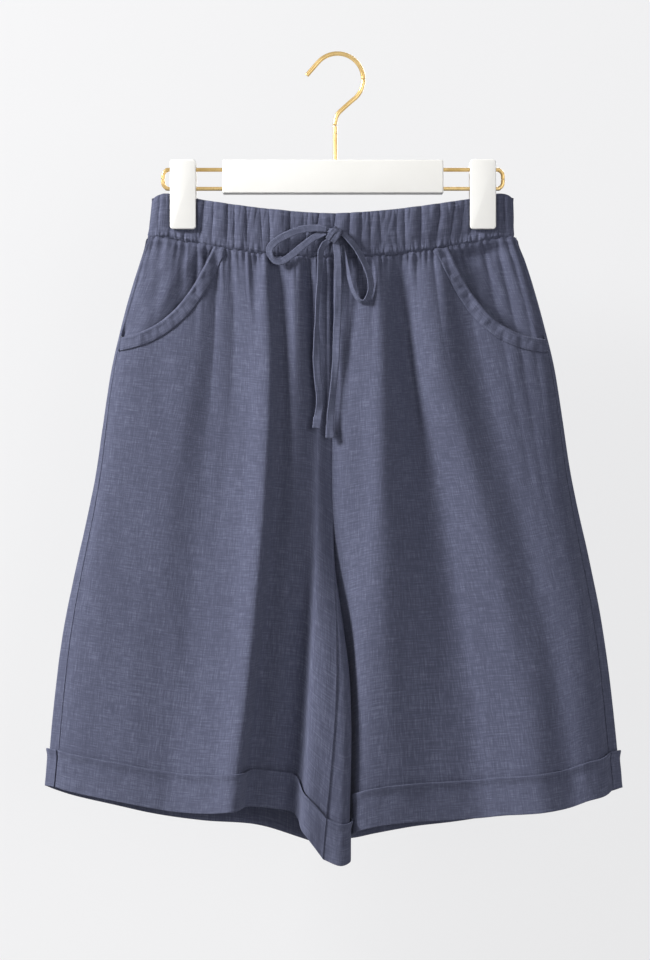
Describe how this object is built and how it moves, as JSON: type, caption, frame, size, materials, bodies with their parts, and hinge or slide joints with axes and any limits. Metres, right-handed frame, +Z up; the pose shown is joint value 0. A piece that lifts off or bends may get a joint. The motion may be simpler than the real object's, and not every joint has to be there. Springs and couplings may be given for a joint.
{
  "type": "linen shorts on a bar clip hanger",
  "caption": "Wide linen shorts with a ruched waist, drawstring bow, scoop pockets and turned-up cuffs, clipped flat to a bar hanger with a wire hook.",
  "frame": {"origin": "inside top of the hook, where a closet rail carries the hanger", "axes": "+Z up, -Y out of the front of the shorts, +X towards the wearer's left"},
  "size_m": [0.5387, 0.0774, 0.7511],
  "materials": {
    "linen": "matt woven linen with slubs",
    "tape": "matt linen tape, folded and stitched",
    "brass": "satin brass wire",
    "white": "off-white satin"
  },
  "bodies": {
    "root": {"hanger_hook": "brass", "hanger_bar": "white", "rail_right": "brass", "rail_left": "brass", "clip_front_right": "white", "clip_rear_right": "white", "clip_slider_right": "white", "clip_front_left": "white", "clip_rear_left": "white", "clip_slider_left": "white", "waistband_front": "linen", "waistband_back": "linen", "front_panel_right": "linen", "front_panel_left": "linen", "back_panel_right": "linen", "back_panel_left": "linen", "pocket_yoke_right": "linen", "pocket_yoke_left": "linen", "pocket_binding_right": "linen", "pocket_binding_left": "linen", "cuff_front_right": "linen", "cuff_front_left": "linen", "cuff_back_right": "linen", "cuff_back_left": "linen", "tie_knot": "tape", "tie_loop_right": "tape", "tie_loop_left": "tape", "tie_tail_right": "tape", "tie_tail_left": "tape"}
  },
  "joints": []
}
